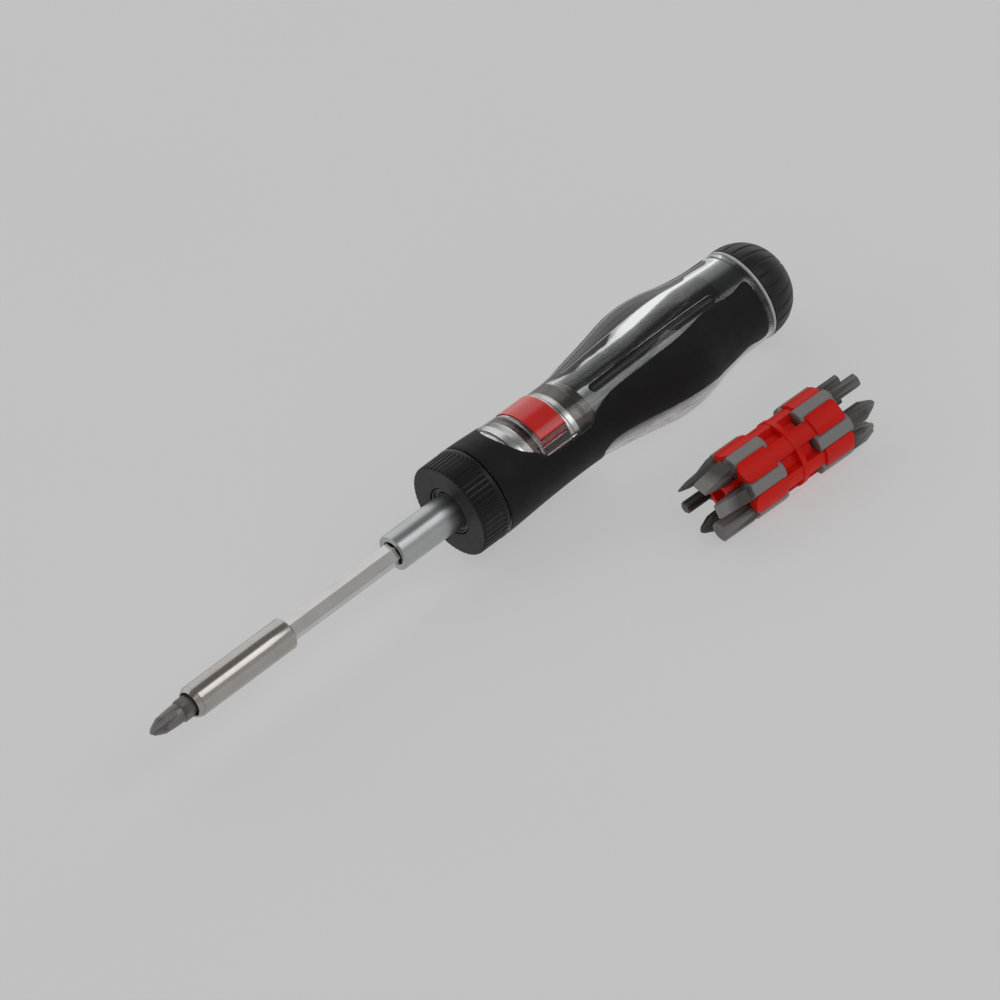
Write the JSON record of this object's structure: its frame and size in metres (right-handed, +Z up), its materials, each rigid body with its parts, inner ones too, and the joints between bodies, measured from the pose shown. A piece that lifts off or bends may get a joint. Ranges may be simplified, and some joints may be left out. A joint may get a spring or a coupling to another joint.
{
  "type": "ratcheting screwdriver",
  "caption": "Ratcheting screwdriver with telescoping hex blade, selector collar, clear handle with soft grip, red release button, domed turning cap and red bit magazine.",
  "frame": {"origin": "centre of the bit holder's mouth, on the tool's axis", "axes": "+X along the tool towards the bit, +Z up through the middle of the release button, +Y towards the side where the magazine lies"},
  "size_m": [0.2574, 0.0903, 0.0382],
  "materials": {
    "clear_plastic": "clear polished plastic",
    "pink_clear_plastic": "clear polished plastic",
    "white_clear_plastic": "milky clear plastic",
    "soft_grip_rubber": "fine matt soft grip",
    "seal_rubber": "smooth rubber",
    "dark_plastic": "satin moulded plastic",
    "cap_plastic": "satin moulded plastic",
    "brown_plastic": "satin moulded plastic",
    "red_plastic": "semi-gloss moulded plastic",
    "bronze": "sintered bearing bronze",
    "nickel": "nickel plated",
    "satin_steel": "satin",
    "stainless": "fine turned",
    "spring_steel": "drawn wire",
    "tool_steel": "ground",
    "magnet": "plated magnet",
    "bit_steel": "dark phosphated tool steel",
    "stored_bit_steel": "grey phosphated tool steel"
  },
  "bodies": {
    "handle": {"handle_core": "clear_plastic", "soft_grip": "soft_grip_rubber", "ratchet_housing": "dark_plastic", "front_bush": "dark_plastic", "thrust_washer": "bronze", "inner_barrel": "nickel", "bulkhead": "brown_plastic", "button_frame": "pink_clear_plastic", "button_springs": "spring_steel", "pawl_pins": "tool_steel", "detent_ball": "nickel", "detent_spring": "spring_steel", "rear_ring": "white_clear_plastic"},
    "selector": {"selector_ring": "dark_plastic"},
    "drive": {"drive_tube": "satin_steel", "ratchet_gear": "tool_steel", "hex_guide_bushes": "dark_plastic", "tube_circlip": "spring_steel"},
    "pawl_right": {"pawl_right": "tool_steel", "pawl_spring_right": "spring_steel"},
    "pawl_left": {"pawl_left": "tool_steel", "pawl_spring_left": "spring_steel"},
    "blade": {"hex_blade": "nickel", "bit_holder_sleeve": "stainless", "holder_magnet": "magnet", "bit_retaining_ring": "spring_steel"},
    "bit": {"phillips_bit": "bit_steel"},
    "button": {"release_button": "red_plastic", "latch_plate": "tool_steel"},
    "cap_plug": {"cap_plug": "dark_plastic", "cap_o_ring": "seal_rubber"},
    "cap": {"cap_dome": "cap_plastic", "cap_pivot_screw": "tool_steel"},
    "magazine": {"magazine_carrier": "red_plastic"},
    "mag_bit_f1": {"mag_bit_f1": "stored_bit_steel"},
    "mag_bit_f2": {"mag_bit_f2": "stored_bit_steel"},
    "mag_bit_f3": {"mag_bit_f3": "stored_bit_steel"},
    "mag_bit_f4": {"mag_bit_f4": "stored_bit_steel"},
    "mag_bit_f5": {"mag_bit_f5": "stored_bit_steel"},
    "mag_bit_f6": {"mag_bit_f6": "stored_bit_steel"},
    "mag_bit_r1": {"mag_bit_r1": "stored_bit_steel"},
    "mag_bit_r2": {"mag_bit_r2": "stored_bit_steel"},
    "mag_bit_r3": {"mag_bit_r3": "stored_bit_steel"},
    "mag_bit_r4": {"mag_bit_r4": "stored_bit_steel"},
    "mag_bit_r5": {"mag_bit_r5": "stored_bit_steel"},
    "mag_bit_r6": {"mag_bit_r6": "stored_bit_steel"}
  },
  "joints": [
    {"name": "drive_spin", "type": "hinge", "parent": "handle", "child": "drive", "pos_m": [-0.1, 0, 0], "axis": [1, 0, 0], "continuous": true},
    {"name": "selector_turn", "type": "hinge", "parent": "handle", "child": "selector", "pos_m": [-0.1115, 0, 0], "axis": [1, 0, 0], "range_deg": [-15, 15]},
    {"name": "pawl_right_lift", "type": "hinge", "parent": "handle", "child": "pawl_right", "pos_m": [-0.1125, 0.00633, 0.00825], "axis": [1, 0, 0], "range_deg": [-5.5, 5.5]},
    {"name": "pawl_left_lift", "type": "hinge", "parent": "handle", "child": "pawl_left", "pos_m": [-0.1125, -0.00633, 0.00825], "axis": [1, 0, 0], "range_deg": [-5.5, 5.5]},
    {"name": "blade_slide", "type": "slide", "parent": "drive", "child": "blade", "axis": [-1, 0, 0], "range_m": [0, 0.04]},
    {"name": "bit_pull", "type": "slide", "parent": "blade", "child": "bit", "axis": [1, 0, 0], "range_m": [0, 0.012]},
    {"name": "button_press", "type": "slide", "parent": "handle", "child": "button", "axis": [0, 0, -1], "range_m": [0, 0.0015], "stiffness_N_per_m": 300, "springref_m": -0.002, "deforming": ["button_springs"]},
    {"name": "cap_pull", "type": "slide", "parent": "handle", "child": "cap_plug", "axis": [-1, 0, 0], "range_m": [0, 0.03]},
    {"name": "cap_spin", "type": "hinge", "parent": "cap_plug", "child": "cap", "pos_m": [-0.2269, 0, 0], "axis": [1, 0, 0], "continuous": true},
    {"name": "magazine_lift", "type": "slide", "parent": "handle", "child": "magazine", "axis": [0, 0, 1], "range_m": [0, 0.06]},
    {"name": "mag_bit_f1_pull", "type": "slide", "parent": "magazine", "child": "mag_bit_f1", "axis": [0.9994, -0.0349, 0], "range_m": [0, 0.022]},
    {"name": "mag_bit_f2_pull", "type": "slide", "parent": "magazine", "child": "mag_bit_f2", "axis": [0.9994, -0.0349, 0], "range_m": [0, 0.022]},
    {"name": "mag_bit_f3_pull", "type": "slide", "parent": "magazine", "child": "mag_bit_f3", "axis": [0.9994, -0.0349, 0], "range_m": [0, 0.022]},
    {"name": "mag_bit_f4_pull", "type": "slide", "parent": "magazine", "child": "mag_bit_f4", "axis": [0.9994, -0.0349, 0], "range_m": [0, 0.022]},
    {"name": "mag_bit_f5_pull", "type": "slide", "parent": "magazine", "child": "mag_bit_f5", "axis": [0.9994, -0.0349, 0], "range_m": [0, 0.022]},
    {"name": "mag_bit_f6_pull", "type": "slide", "parent": "magazine", "child": "mag_bit_f6", "axis": [0.9994, -0.0349, 0], "range_m": [0, 0.022]},
    {"name": "mag_bit_r1_pull", "type": "slide", "parent": "magazine", "child": "mag_bit_r1", "axis": [-0.9994, 0.0349, 0], "range_m": [0, 0.022]},
    {"name": "mag_bit_r2_pull", "type": "slide", "parent": "magazine", "child": "mag_bit_r2", "axis": [-0.9994, 0.0349, 0], "range_m": [0, 0.022]},
    {"name": "mag_bit_r3_pull", "type": "slide", "parent": "magazine", "child": "mag_bit_r3", "axis": [-0.9994, 0.0349, 0], "range_m": [0, 0.022]},
    {"name": "mag_bit_r4_pull", "type": "slide", "parent": "magazine", "child": "mag_bit_r4", "axis": [-0.9994, 0.0349, 0], "range_m": [0, 0.022]},
    {"name": "mag_bit_r5_pull", "type": "slide", "parent": "magazine", "child": "mag_bit_r5", "axis": [-0.9994, 0.0349, 0], "range_m": [0, 0.022]},
    {"name": "mag_bit_r6_pull", "type": "slide", "parent": "magazine", "child": "mag_bit_r6", "axis": [-0.9994, 0.0349, 0], "range_m": [0, 0.022]}
  ],
  "couplings": [
    {"joint": "pawl_right_lift", "follows": "selector_turn", "ratio": -0.33333},
    {"joint": "pawl_left_lift", "follows": "selector_turn", "ratio": -0.33333}
  ]
}
